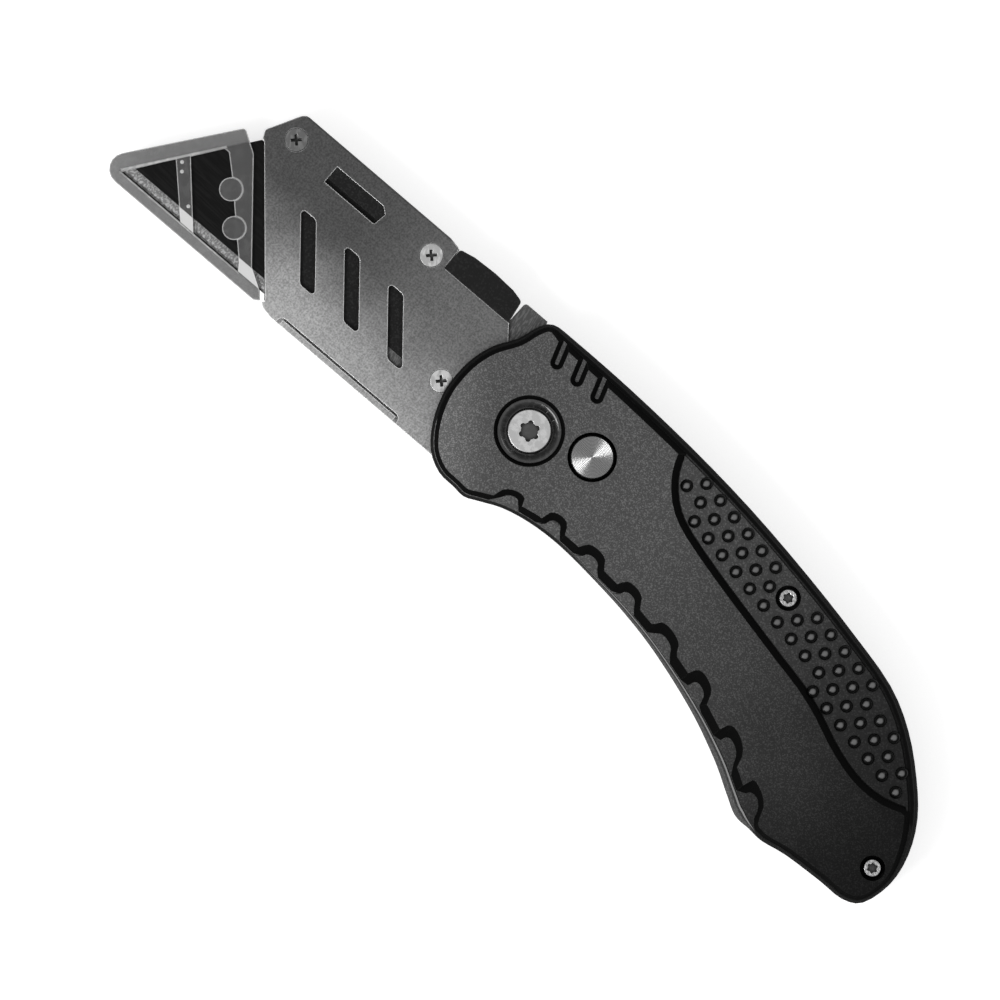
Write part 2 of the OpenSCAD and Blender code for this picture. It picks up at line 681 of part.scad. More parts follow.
// The room that the blade needs between the cheeks of the carrier and of the tang
module blade_channel() slab([
    [tip_x, edge_y - belly_drop], [tip_x, blade_back + 0.12], [-blade_heel - slant + 0.4, blade_back + 0.12],
    [-blade_heel + 0.5, edge_y - 0.2], [-blade_heel + 0.5, edge_y - belly_drop],
], -channel_z, channel_z);

// The tang turns about the pivot. Its disc has the notch for the lock, its shoulder meets the stop pin
// when the knife is open, and its finger has the track in which the lock's stem runs as the knife folds.
function tang_outline() = concat(
    [[button_x1 + 0.22, notch_floor - 0.1]],
    [fork_root, [-24.4, 0.5], [-20.8, fork_y], [fork_x, fork_y], [fork_x, core_bottom]],
    [[flange_x1 + 0.5, core_bottom], [flange_x1 + 1, belly_y + 0.15], [polar(finger_r + 0.1, finger_a).x, belly_y + 0.15]],
    [polar(finger_r, finger_a)],
    arc([0, 0], tang_disc_r, finger_a, open_stop, 48),
    arc([0, 0], 13.2, open_stop, 124, 10),
    [[-9.4, spine_h - 0.1]],
    corner([0, spine_h - 0.1], [button_x1 + 0.32, spine_h - 0.1], [button_x1 + 0.22, 0], 0.6)
);

module tang() placed() color([0.55, 0.55, 0.56]) difference() {
    slab(tang_outline(), -core_z, core_z);
    rod([0, 0], pivot_r + fit + bush_wall + fit, -core_z - 1, core_z + 1);
    rod(lock_at, lock_collar_r + 0.1, -core_z - 1, core_z + 1);
    slab(concat(
        arc([0, 0], lock_reach - slot_r, finger_a + 12, closed_lock, 12),
        arc(polar(lock_reach, closed_lock), slot_r, closed_lock - 180, closed_lock, 8),
        arc([0, 0], lock_reach + slot_r, closed_lock, finger_a + 12, 12)
    ), -core_z - 1, core_z + 1);
    rod(polar(lock_reach, closed_lock), lock_collar_r + 0.1, -core_z - 1, lock_collar_z + lock_travel + 0.1);
    rod(tang_screw, holder_shank_r + fit, -core_z - 1, core_z + 1);
    blade_channel();
}

module pivot_bush() placed() color("goldenrod") difference() {
    rod([0, 0], pivot_r + fit + bush_wall, -core_z, core_z);
    rod([0, 0], pivot_r + fit, -core_z - 1, core_z + 1);
}

// Room for the latch and its spring in the middle of the carrier. The latch's tail is 8 mm long inside it
// and rises as the lever rocks.
latch_room_top = lever_axis.y + 2.35 + 8 * sin(lever_angle);
module latch_room() {
    slab([
        [latch_notch_x - 2.2, blade_back], [latch_notch_x - 2.2, lever_axis.y + 0.9], [lever_axis.x - 2, latch_room_top],
        [lever_axis.x + 4, latch_room_top], [lever_axis.x + 4, blade_back],
    ], -latch_t / 2 - 0.15, latch_t / 2 + 0.15);
    slab([
        [button_x0 + 0.4, button_y - 2.5], [button_x0 + 0.4, lever_tail[0]], [button_x1 - 0.7, lever_tail[0]],
        [button_x1 - 0.7, button_y - 2.5],
    ], -1, 1);
}

module blade_carrier() placed() color([0.05, 0.05, 0.05]) difference() {
    union() {
        slab([
            [front_x(core_bottom) + carrier_setback, core_bottom], [fork_x, core_bottom],
            [fork_x, fork_y], [-20.8, fork_y], [-24.4, 0.5], fork_root,
            [button_x1 + 0.12, notch_floor - 0.05], [button_x0 - 0.5, notch_floor - 0.05],
            [button_x0 - 0.5, spine_h - core_gap],
            [nose_x + 3, spine_h - core_gap], [nose_x + 0.6, blade_back + 1.5],
            [front_x(blade_back) + carrier_setback, blade_back],
        ], -core_z, core_z);
        for (side = [0, 1]) mirror([0, 0, side])
            slab([for (p = window_outline(window.y + window[3] - tab_h, window.y + window[3]))
                [p.x < window.x + 1 ? p.x + fit : p.x - fit, p.y > window.y + 2 ? p.y - fit : p.y]],
                core_z - eps, plate_z);
    }
    blade_channel();
    latch_room();
    for (p = [front_screw, lever_axis]) rod(p, holder_shank_r + fit, -plate_z - 1, plate_z + 1);
}

module holder_screws() placed() color("silver") for (p = holder_screw_at) difference() {
    union() {
        rod(p, holder_head_r, plate_z, plate_z + head_proud);
        cone(p, holder_shank_r, holder_head_r, core_z, plate_z);
        rod(p, holder_shank_r, -plate_z, core_z + eps);
    }
    cross_recess(p, 1.8, plate_z + head_proud, 0.7);
}

// --- Release lever, drawn pressed: it rocks by lever_angle to latch the blade ---

latch_nose = [latch_notch_x - 0.3, blade_back + 0.15];
latch_nose_w = 1.9;
leaf_t = 0.25;

module release_latch() placed() color("silver") difference() {
    slab(rounded([
        [latch_nose.x - latch_nose_w / 2, latch_nose.y, 0.3], [latch_nose.x + latch_nose_w / 2, latch_nose.y, 0.3],
        [latch_nose.x + latch_nose_w / 2 + 0.4, lever_axis.y - 2, 0.5], [lever_axis.x, lever_axis.y - 2.1, 1.5],
        [lever_axis.x + 2.3, lever_tail[0], 1], [lever_tail_end, lever_tail[0], 0],
        [lever_tail_end, lever_tail[1], 0], [lever_axis.x, lever_tail[1], 1.5],
        [latch_nose.x - latch_nose_w / 2, lever_axis.y - 0.2, 1],
    ]), -latch_t / 2, latch_t / 2);
    rod(lever_axis, holder_shank_r + fit, -1, 1);
}

module release_button() placed() color([0.07, 0.07, 0.07]) difference() {
    union() {
        slab(rounded([
            [button_x0, button_y + 0.6, 0], [button_x1, button_y + 0.6, 0], [button_x1 - 0.4, button_top - 0.7, 0.6],
            [button_x1 - 2.5, button_top - 0.2, 1.5], [(button_x0 + button_x1) / 2, button_top, 6],
            [button_x0 + 2.3, button_top - 0.2, 1.5], [button_x0, button_top - 0.7, 0.6],
        ]), -button_t / 2, button_t / 2);
        slab([
            [button_x0 + 0.2, button_y], [button_x1, button_y], [button_x1, button_y + 0.7],
            [button_x0 + 0.2, button_y + 0.7],
        ], -button_t / 2 + 0.35, button_t / 2 - 0.35);
        for (side = [0, 1]) mirror([0, 0, side]) slab(rounded([
            [button_x0 - button_lip, button_y - 0.15, 0.2], [button_x1 + 0.3, button_y - 0.15, 0.2],
            [button_x1 - 0.3, button_top - 0.75, 0.6], [button_x1 - 2.5, button_top - 0.25, 1.5],
            [(button_x0 + button_x1) / 2, button_top - 0.05, 6], [button_x0 + 2.3, button_top - 0.25, 1.5],
            [button_x0 - button_lip + 0.1, button_top - 0.75, 0.6],
        ]), plate_z + 0.1, button_t / 2);
    }
    slab([
        [button_x0 - 1, lever_tail[0]], [lever_tail_end, lever_tail[0]], [lever_tail_end, lever_tail[1]],
        [button_x0 - 1, lever_tail[1]],
    ], -latch_t / 2, latch_t / 2);
}

module release_spring() placed() color("silver") slab(strip(concat(
    [[button_x0 + 1, button_y - 2.35]],
    arc([lever_tail_end, button_y - 1.85], 0.5, -90, 80, 8),
    [[button_x0 + 2, button_y - 0.2]]
), leaf_t), -0.9, 0.9);

// --- Blade and guard ---

module blade() placed() color([0.2, 0.2, 0.22]) difference() {
    intersection() {
        slab([[tip_x, edge_y], [-blade_heel, edge_y], [-blade_heel - slant, blade_back], [tip_x + slant, blade_back]],
            -1, 1);
        translate([tip_x - 1, 0, 0]) rotate([90, 0, 90]) linear_extrude(blade_l + 2) polygon([
            [edge_y, -edge_land], [edge_y + bevel_w, -blade_t / 2], [blade_back + 1, -blade_t / 2],
            [blade_back + 1, blade_t / 2], [edge_y + bevel_w, blade_t / 2], [edge_y, edge_land],
        ]);
    }
    for (k = [0, 1]) translate([latch_notch_x - k * notch_pitch, blade_back, 0]) {
        rod([0, notch_w / 2 - notch_d], notch_w / 2, -1, 1);
        translate([-notch_w / 2, notch_w / 2 - notch_d, -1]) cube([notch_w, notch_d, 2]);
    }
}

// Places along the guard are measured from the blade's tip and edge
function from_tip(x, y) = [tip_x + x, edge_y + y];
function rim_x(y) = y / tan(tip_angle);

boss_at = [from_tip(15.8, 9.5), from_tip(20.3, 5)];

module blade_guard() placed() color([0.75, 0.75, 0.75]) difference() {
    union() {
        difference() {
            slab(rounded([
                [front_x(edge_y) - guard_gap, edge_y - 0.1, 0],
                [front_x(guard_bottom + 0.9) - guard_gap, guard_bottom + 0.9, 0],
                [front_x(guard_bottom + 0.9) - guard_gap + 0.2, guard_bottom + 0.6, 0.2],
                [front_x(guard_bottom + 0.9) - guard_gap - 0.8, guard_bottom, 0.4],
                [guard_nose.x, guard_nose.y, nose_r],
                [guard_corner.x, guard_corner.y, 0.6],
                [tip_x + slant - 0.9, blade_back - 1.8, 0.5],
                [front_x(blade_back - 2.6) - web_gap, blade_back - 2.6, 0.8],
                [front_x(edge_y + 2) - web_gap, edge_y + 2, 0],
            ]), -guard_z, guard_z);
            slab([from_tip(0.3, 0), from_tip(rim_x(7.4) + 0.1, 7.4), from_tip(13, 0)], -guard_z - 1, guard_z + 1);
            slab([
                from_tip(15.8, 0), from_tip(7.3, 9.3), from_tip(rim_x(blade_w - 5.1) + 0.2, blade_w - 5.1),
                from_tip(11.6, blade_w - 5.1),
                from_tip(14.6, 11.2), from_tip(24.6, 1.2), from_tip(25.4, 0),
            ], -guard_z - 1, guard_z + 1);
        }
        for (p = boss_at) rod(p, boss_r, -guard_z - boss_h, guard_z + boss_h);
    }
    slab([
        from_tip(-0.2, -0.1), from_tip(slant - 0.1, blade_w + 0.3), [-blade_heel, blade_back + 0.3],
        [-blade_heel, edge_y - 0.1],
    ], -channel_z, channel_z);
}

front_scale();
back_scale();
front_grip_pad();
back_grip_pad();
backspacer();
pivot_barrel();
pivot_screw();
front_pivot_collar();
back_pivot_collar();
front_washer();
back_washer();
stop_pin();
handle_posts();
front_handle_screws();
back_handle_screws();
lock_button();
lock_collar();
lock_spring();
front_plate();
back_plate();
blade_carrier();
tang();
pivot_bush();
holder_screws();
release_latch();
release_button();
release_spring();
blade();
blade_guard();
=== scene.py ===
# Folding utility knife: the finish of its pieces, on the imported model's own solids.
# Lengths are in metres, and the knife lies on its back scale with its front side up.
import json
import math

import bmesh
import bpy
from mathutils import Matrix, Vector


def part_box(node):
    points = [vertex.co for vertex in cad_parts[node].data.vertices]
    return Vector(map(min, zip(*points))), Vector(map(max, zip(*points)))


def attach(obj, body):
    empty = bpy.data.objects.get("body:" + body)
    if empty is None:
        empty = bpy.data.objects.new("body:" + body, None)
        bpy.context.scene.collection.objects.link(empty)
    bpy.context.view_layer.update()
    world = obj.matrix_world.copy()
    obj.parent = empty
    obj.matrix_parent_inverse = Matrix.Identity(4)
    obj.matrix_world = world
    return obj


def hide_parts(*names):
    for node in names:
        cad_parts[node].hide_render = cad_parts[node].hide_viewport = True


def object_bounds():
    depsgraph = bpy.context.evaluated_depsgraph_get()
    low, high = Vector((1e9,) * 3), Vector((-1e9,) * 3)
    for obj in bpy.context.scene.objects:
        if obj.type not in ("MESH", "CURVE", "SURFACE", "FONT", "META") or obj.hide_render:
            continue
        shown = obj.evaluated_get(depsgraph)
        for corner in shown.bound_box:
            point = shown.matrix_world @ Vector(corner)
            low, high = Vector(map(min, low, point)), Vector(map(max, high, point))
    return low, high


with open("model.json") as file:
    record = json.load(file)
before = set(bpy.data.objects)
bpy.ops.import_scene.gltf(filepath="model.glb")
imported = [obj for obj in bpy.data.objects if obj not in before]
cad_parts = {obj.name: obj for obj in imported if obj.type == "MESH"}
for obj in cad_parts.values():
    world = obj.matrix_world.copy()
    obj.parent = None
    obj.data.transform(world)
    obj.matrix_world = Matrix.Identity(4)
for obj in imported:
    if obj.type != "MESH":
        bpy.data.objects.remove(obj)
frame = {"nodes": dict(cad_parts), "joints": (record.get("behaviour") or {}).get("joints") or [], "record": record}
cad_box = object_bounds()
record = frame["record"]
scene = bpy.context.scene

# --- Studio ---
# The knife lies on white paper. A large softbox hangs on the belly's side and a smaller one beyond the spine.
# The backdrop is white, the ceiling is dark, and a pale panel hangs straight above.

mm = 0.001
fold = next(joint for joint in frame["joints"] if joint["name"] == "fold")
pivot = Vector(fold["pos_m"])


def at(x, y, z=0.0):
    """A place in millimetres from the pivot: towards the tail, towards the spine and up."""
    return pivot + Vector((x, y, z)) * mm


def grey(value):
    return (value, value, value, 1.0)


def add(tree, kind, inputs=None, **settings):
    """Adds a node, makes its settings, and gives each input a value or links it to another node's output."""
    made = tree.nodes.new(kind)
    for name, value in settings.items():
        setattr(made, name, value)
    for name, value in (inputs or {}).items():
        if isinstance(value, bpy.types.NodeSocket):
            tree.links.new(value, made.inputs[name])
        else:
            made.inputs[name].default_value = value
    return made


def calc(tree, operation, *values):
    return add(tree, "ShaderNodeMath", dict(enumerate(values)), operation=operation).outputs[0]


def ramp(tree, value, start, end, low=0.0, high=1.0):
    """A number that goes from low to high as the value goes from start to end, and no further."""
    ends = {"Value": value, "From Min": start, "From Max": end, "To Min": low, "To Max": high}
    return add(tree, "ShaderNodeMapRange", ends, interpolation_type="SMOOTHSTEP").outputs[0]


def is_shown(tree):
    """1 where a ray comes from the camera, a reflection or a clear piece, and 0 where it carries light."""
    ray = add(tree, "ShaderNodeLightPath").outputs
    mirrored = calc(tree, "MAXIMUM", ray["Is Camera Ray"], ray["Is Glossy Ray"])
    return calc(tree, "MAXIMUM", mirrored, ray["Is Transmission Ray"])


def softbox(name, place, size, power):
    """A square lamp that faces the pivot."""
    lamp = bpy.data.lights.new(name, "AREA")
    lamp.size = size
    lamp.energy = power
    stand = bpy.data.objects.new(name, lamp)
    stand.location = place
    stand.rotation_euler = (place - pivot).to_track_quat("Z", "Y").to_euler()
    scene.collection.objects.link(stand)


softbox("belly_softbox", at(-105, -330, 520), 0.26, 2.0)
softbox("spine_softbox", at(120, 360, 420), 0.22, 0.4)

view_width = 163.9 * mm
view_distance = 2.5
view_roll = math.radians(40.5)
view_middle = at(3.66, -11.68)
lens = bpy.data.cameras.new("camera")
lens.sensor_width = 36
lens.lens = lens.sensor_width * view_distance / view_width
lens.clip_end = 20
camera = bpy.data.objects.new("camera", lens)
camera.location = view_middle + Vector((0, 0, view_distance))
camera.rotation_euler = (0, 0, view_roll)
scene.collection.objects.link(camera)
scene.camera = camera
scene.view_settings.view_transform = "Standard"

world = bpy.data.worlds.new("room")
world.use_nodes = True
scene.world = world
room = world.node_tree
room.nodes.clear()
direction = add(room, "ShaderNodeTexCoord").outputs["Generated"]
height = add(room, "ShaderNodeSeparateXYZ", {0: direction}).outputs["Z"]
backdrop = ramp(room, height, 0.1, 0.35, 0.72, 0.0)
panel = ramp(room, height, 0.82, 0.97, 0.28, 0.85)
shown = add(room, "ShaderNodeBackground", {"Color": grey(1), "Strength": calc(room, "ADD", backdrop, panel)})
lit = add(room, "ShaderNodeBackground", {"Color": grey(1), "Strength": 0.6})
both = add(room, "ShaderNodeMixShader", {0: is_shown(room), 1: lit.outputs[0], 2: shown.outputs[0]})
add(room, "ShaderNodeOutputWorld", {"Surface": both.outputs[0]})

paper = bpy.data.materials.new("paper")
paper.use_nodes = True
tree = paper.node_tree
tree.nodes.clear()
sheet = add(tree, "ShaderNodeBsdfDiffuse", {"Color": grey(0.8)}).outputs[0]
glow = add(tree, "ShaderNodeEmission", {"Color": grey(1), "Strength": 0.55}).outputs[0]
white = add(tree, "ShaderNodeAddShader", {0: sheet, 1: glow}).outputs[0]
both = add(tree, "ShaderNodeMixShader", {0: is_shown(tree), 1: sheet, 2: white})
add(tree, "ShaderNodeOutputMaterial", {"Surface": both.outputs[0]})
paper_level = cad_box[0].z - 0.1 * mm
bpy.ops.mesh.primitive_plane_add(size=8, location=(0, 0, paper_level))
floor = bpy.context.object
floor.name = "paper_sheet"
floor.data.materials.append(paper)

# --- Handle scales ---
# Two moulded shells that screws hold on the backspacer, with a raised face, a ledge round it, thumb
# grooves and notches along the belly. They are painted satin black, and the level faces sparkle finely.
# Light and shade are painted on as well: the level faces darken towards the tail and carry a painted sheen at
# the front corner, the slopes and the other sides are painted near-black as shade, the notches are painted
# lighter as light with a painted highlight band near the top, and a painted shadow line runs under the face.

body_of = {node: body for body, names in record["behaviour"]["bodies"].items() for node in names}
FLOAT, COLOR = "NodeSocketFloat", "NodeSocketColor"


def whole_faces(node):
    """A node's shape with its loose triangles joined into whole faces."""
    shape = bmesh.new()
    shape.from_mesh(frame["nodes"][node].data)
    bmesh.ops.remove_doubles(shape, verts=shape.verts, dist=0.002 * mm)
    bmesh.ops.dissolve_limit(
        shape, angle_limit=math.radians(0.3), verts=shape.verts, edges=shape.edges, delimit=set()
    )
    return shape


def settle(piece, node, material):
    """Puts the material on a finished piece, and ties it to its node's body."""
    piece.data.materials.clear()
    piece.data.materials.append(material)
    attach(piece, body_of[node])


def make_plain(piece):
    """Turns an object with its modifiers into a plain mesh."""
    result = bpy.data.meshes.new_from_object(piece.evaluated_get(bpy.context.evaluated_depsgraph_get()))
    piece.modifiers.clear()
    piece.data = result


def dress(node, material, rounding, shape=None):
    """Shows a copy of a node in its place, or another shape, with edges rounded to so many millimetres."""
    sharp_angle = math.radians(32)
    shape = shape or whole_faces(node)
    mesh = bpy.data.meshes.new(node + "_finish")
    shape.to_mesh(mesh)
    shape.free()
    mesh.shade_smooth()
    piece = bpy.data.objects.new(node + "_finish", mesh)
    scene.collection.objects.link(piece)
    bevel = piece.modifiers.new("rounded_edges", "BEVEL")
    bevel.width = rounding * mm
    bevel.segments = 2
    bevel.limit_method = "ANGLE"
    bevel.angle_limit = sharp_angle
    piece.modifiers.new("flat_faces", "WEIGHTED_NORMAL")
    make_plain(piece)
    settle(piece, node, material)
    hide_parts(node)


def finish(name, **constants):
    """A material, its tree and its shader, whose constants are set on the shader's own sockets."""
    material = bpy.data.materials.new(name)
    material.use_nodes = True
    tree = material.node_tree
    tree.nodes.clear()
    sockets = {}
    for label, value in constants.items():
        sockets[label.replace("_", " ").title().replace("Ior", "IOR")] = value
    shader = add(tree, "ShaderNodeBsdfPrincipled", sockets)
    add(tree, "ShaderNodeOutputMaterial", {"Surface": shader.outputs[0]})
    return material, tree, shader


def feed(tree, output, shader, socket):
    tree.links.new(output, shader.inputs[socket])


def bump(tree, shader, height, distance):
    """Raises the surface by the height, where 1 stands for so many millimetres."""
    raised = add(tree, "ShaderNodeBump", {"Height": height, "Strength": 1.0, "Distance": distance * mm})
    feed(tree, raised.outputs[0], shader, "Normal")


def between(tree, factor, low, high):
    """The colour between two others."""
    return add(tree, "ShaderNodeMix", {0: factor, 6: low, 7: high}, data_type="RGBA").outputs[2]


def effect(name, inputs, outputs):
    """A shader node group with named inputs and outputs, its input node and its output node."""
    made = bpy.data.node_groups.new(name, "ShaderNodeTree")
    for label, (kind, value) in inputs.items():
        made.interface.new_socket(label, in_out="INPUT", socket_type=kind).default_value = value
    for label, kind in outputs.items():
        made.interface.new_socket(label, in_out="OUTPUT", socket_type=kind)
    return made, add(made, "NodeGroupInput").outputs, add(made, "NodeGroupOutput")


def scaled(tree, vector, factor):
    """A place or a colour times a number."""
    return add(tree, "ShaderNodeVectorMath", {0: vector, "Scale": factor}, operation="SCALE").outputs[0]


def per_mm(tree, place, count):
    """Object coordinates in units of which there are so many to the millimetre."""
    from_socket = isinstance(count, bpy.types.NodeSocket)
    return scaled(tree, place, calc(tree, "DIVIDE", count, mm) if from_socket else count / mm)


# Fine flakes: cells of one size, of which a share are light and the others dark
flakes, given, result = effect(
    "flakes",
    {"Dark": (COLOR, grey(0.01)), "Light": (COLOR, grey(0.1)), "Share": (FLOAT, 0.3), "Per mm": (FLOAT, 4.0)},
    {"Color": COLOR, "Height": FLOAT},
)
place = add(flakes, "ShaderNodeTexCoord").outputs["Object"]
cell = add(flakes, "ShaderNodeTexVoronoi", {"Vector": per_mm(flakes, place, given["Per mm"]), "Scale": 1.0})
tone = add(flakes, "ShaderNodeSeparateColor", {0: cell.outputs["Color"]}).outputs[0]
light = ramp(flakes, tone, calc(flakes, "SUBTRACT", 1.0, given["Share"]), 1.0)
flakes.links.new(between(flakes, light, given["Dark"], given["Light"]), result.inputs["Color"])
flakes.links.new(tone, result.inputs["Height"])

# Handled edges: a mask along the outer edges, broken up by soft patches, that lightens them partly as wear and
# partly as a painted glint
worn_and_glinting_edges, given, result = effect(
    "worn_and_glinting_edges", {"Width mm": (FLOAT, 0.2), "Wear": (FLOAT, 0.6)}, {"Mask": FLOAT},
)
rounded = add(worn_and_glinting_edges, "ShaderNodeBevel", {"Radius": calc(worn_and_glinting_edges, "MULTIPLY", given["Width mm"], mm)})
surface = add(worn_and_glinting_edges, "ShaderNodeNewGeometry").outputs["Normal"]
bend = add(worn_and_glinting_edges, "ShaderNodeVectorMath", {0: rounded.outputs[0], 1: surface}, operation="DOT_PRODUCT")
place = add(worn_and_glinting_edges, "ShaderNodeTexCoord").outputs["Object"]
patches = add(worn_and_glinting_edges, "ShaderNodeTexNoise", {"Vector": per_mm(worn_and_glinting_edges, place, 0.7), "Scale": 1.0})
patch = ramp(worn_and_glinting_edges, patches.outputs[0], 0.3, 0.6, calc(worn_and_glinting_edges, "SUBTRACT", 1.0, given["Wear"]), 1.0)
edge = ramp(worn_and_glinting_edges, bend.outputs["Value"], 0.995, 0.9)
worn_and_glinting_edges.links.new(calc(worn_and_glinting_edges, "MULTIPLY", edge, patch), result.inputs["Mask"])

# Painted shade: a mask in recesses and corners, from how much of the sky a place sees
recess_shade, given, result = effect("recess_shade", {"Reach mm": (FLOAT, 0.8), "Open": (FLOAT, 0.8)}, {"Mask": FLOAT})
reach = calc(recess_shade, "MULTIPLY", given["Reach mm"], mm)
sky = add(recess_shade, "ShaderNodeAmbientOcclusion", {"Distance": reach}, samples=8).outputs["AO"]
half_open = calc(recess_shade, "MULTIPLY", given["Open"], 0.5)
recess_shade.links.new(ramp(recess_shade, sky, half_open, given["Open"], 1.0, 0.0), result.inputs["Mask"])


def shaded_in_recesses(tree, colour, reach, amount, shade_tone=0.003, opening=0.8):
    """The colour with painted shade in the recesses that are about as wide as the reach in millimetres."""
    mask = add(tree, "ShaderNodeGroup", {"Reach mm": reach, "Open": opening}, node_tree=recess_shade).outputs[0]
    return between(tree, calc(tree, "MULTIPLY", mask, amount), colour, grey(shade_tone))


def flaked(tree, dark, light, share, per):
    """The colour and height of a coat of flakes, so many to the millimetre."""
    values = {"Dark": grey(dark), "Light": grey(light), "Share": share, "Per mm": per}
    return add(tree, "ShaderNodeGroup", values, node_tree=flakes).outputs


def edge_wear_and_glint(tree, width, wear_and_glint):
    """A mask along the edges, so many millimetres wide, that are partly worn and partly given a painted glint."""
    return add(tree, "ShaderNodeGroup", {"Width mm": width, "Wear": wear_and_glint}, node_tree=worn_and_glinting_edges).outputs[0]


def places(tree):
    """The place on the object, whole and split into X, Y and Z."""
    place = add(tree, "ShaderNodeTexCoord").outputs["Object"]
    return place, add(tree, "ShaderNodeSeparateXYZ", {0: place}).outputs


def along(*lengths):
    """X at so many millimetres from the pivot, towards the tail."""
    return [at(length, 0).x for length in lengths]


def across(*widths):
    """Y at so many millimetres from the pivot, towards the spine."""
    return [at(0, width).y for width in widths]


def from_middle(tree, height):
    """How far a height is from the knife's mid-plane."""
    return calc(tree, "ABSOLUTE", calc(tree, "SUBTRACT", height, pivot.z))


def levelness(tree, normal):
    """1 where the surface faces straight up or down, and 0 where it stands upright."""
    surface = add(tree, "ShaderNodeNewGeometry").outputs[normal]
    return calc(tree, "ABSOLUTE", add(tree, "ShaderNodeSeparateXYZ", {0: surface}).outputs["Z"])


def within(tree, value, rising, falling):
    """1 between two borders and 0 outside them. Each border is where its change starts and ends."""
    return calc(tree, "MULTIPLY", ramp(tree, value, *rising), ramp(tree, value, *falling, 1.0, 0.0))


def wandering(tree, place, coordinate, per, reach):
    """A coordinate that soft clouds, so many to the millimetre, move by up to so many millimetres."""
    cloud = add(tree, "ShaderNodeTexNoise", {"Vector": per_mm(tree, place, per), "Scale": 1.0}).outputs[0]
    return calc(tree, "MULTIPLY_ADD", cloud, reach * mm, coordinate)


paint, tree, shader = finish("satin_paint", specular_ior_level=0.03)
coat = flaked(tree, 0.062, 0.13, 0.5, 6.2)
place, spot = places(tree)
# The true normal, because the smoothed one also reads as level on the slope where a notch starts
flat = ramp(tree, levelness(tree, "True Normal"), 0.97, 0.995)

# The level faces are painted darker towards the tail as shade, and lighter at the front corner on the belly's side
# as a painted sheen
tone = ramp(tree, wandering(tree, place, spot["X"], 0.06, 20), *along(20, 105), 1.0, 0.1)
corner_slant = 0.75
corner = calc(tree, "MULTIPLY_ADD", spot["Y"], corner_slant, spot["X"])
corner_ends = [length + corner_slant * pivot.y for length in along(-6, -18)]
painted_sheen = ramp(tree, corner, *corner_ends, 1.0, 1.7)
sparkle_and_painted_light = scaled(tree, scaled(tree, coat["Color"], tone), painted_sheen)

# Heights from the mid-plane: the ledge round the raised face, and the rim on the sides with its soft borders, a
# band where a highlight is painted; just above it a shadow line is painted under the face
ledge, rim_foot, rim_head, soft = 7.2 * mm, 6.7 * mm, 7.1 * mm, 0.1 * mm
rise = from_middle(tree, spot["Z"])
raised = ramp(tree, rise, ledge + 0.03 * mm, ledge + 0.08 * mm)
highlight_band = within(tree, rise, (rim_foot, rim_foot + soft), (rim_head - soft, rim_head))
shadow_line = ramp(tree, rise, rim_head - 0.05 * mm, rim_head + 0.02 * mm)

# The notches' walls lean outwards along the belly, and are painted lighter as light, more so from the rim down;
# the other sides are painted near-black as shade
belly_side = ramp(tree, spot["Y"], *across(-8, -9))
leaning = calc(tree, "MULTIPLY", belly_side, within(tree, spot["X"], along(13, 30), along(69, 71)))
wall_painted_light = ramp(tree, rise, rim_foot - 0.7 * mm, rim_foot, 1.15, 0.45)
side_light_and_shade = between(tree, leaning, grey(0.011), scaled(tree, coat["Color"], wall_painted_light))
side_light_and_shade = between(tree, highlight_band, side_light_and_shade, between(tree, leaning, grey(0.02), grey(0.24)))
side_light_and_shade = between(tree, shadow_line, side_light_and_shade, grey(0.003))

# Painted light: the level notch floors are painted lighter, and on the raised face the slopes are painted
# near-black as shade
in_notch = calc(tree, "MULTIPLY", belly_side, flat)
lit_notch_floor = scaled(tree, sparkle_and_painted_light, ramp(tree, flat, 0.0, 1.0, 0.0, 1.2))
on_side = between(tree, in_notch, side_light_and_shade, lit_notch_floor)
face_and_shaded_slopes = between(tree, flat, grey(0.004), sparkle_and_painted_light)
coloured = between(tree, raised, on_side, face_and_shaded_slopes)
# Lighter edges: partly worn, partly a painted glint
wear_and_glint = edge_wear_and_glint(tree, 0.15, 0.8)
coloured = between(tree, calc(tree, "MULTIPLY", wear_and_glint, 0.12), coloured, grey(0.12))
feed(tree, shaded_in_recesses(tree, coloured, 0.5, 0.6), shader, "Base Color")
flake_gloss = ramp(tree, coat["Height"], 0.0, 1.0, 0.55, 0.42)
feed(tree, ramp(tree, flat, 0.0, 1.0, 0.95, flake_gloss), shader, "Roughness")
bump(tree, shader, coat["Height"], 0.01)

dress("front_scale", paint, 0.14)
dress("back_scale", paint, 0.14)

# --- Grip pads ---
# Rubber pads that lie in pockets in both scales. Rows of round domes are moulded on them. Shade is painted on
# the pads towards the tail and round the domes' feet, and the domes' tops carry a painted highlight.

rubber, tree, shader = finish("grip_rubber", roughness=0.55, specular_ior_level=0.08)
coat = flaked(tree, 0.048, 0.1, 0.4, 5.0)
spot = places(tree)[1]
# Painted shade: the pad darkens towards the tail, and round the domes' feet
shaded_to_tail = scaled(tree, coat["Color"], ramp(tree, spot["X"], *along(25, 85), 1.0, 0.22))
feed(tree, shaded_in_recesses(tree, shaded_to_tail, 0.7, 0.95, opening=0.95), shader, "Base Color")
bump(tree, shader, coat["Height"], 0.01)

polished, tree, shader = finish("polished_rubber", specular_ior_level=0.12)
coat = flaked(tree, 0.001, 0.003, 0.5, 6.0)
# Painted highlight: the tops that face straight up are painted lighter
top_highlight = ramp(tree, levelness(tree, "Normal"), 0.93, 0.995)
feed(tree, between(tree, top_highlight, coat["Color"], grey(0.12)), shader, "Base Color")
feed(tree, ramp(tree, coat["Height"], 0.0, 1.0, 0.18, 0.28), shader, "Roughness")


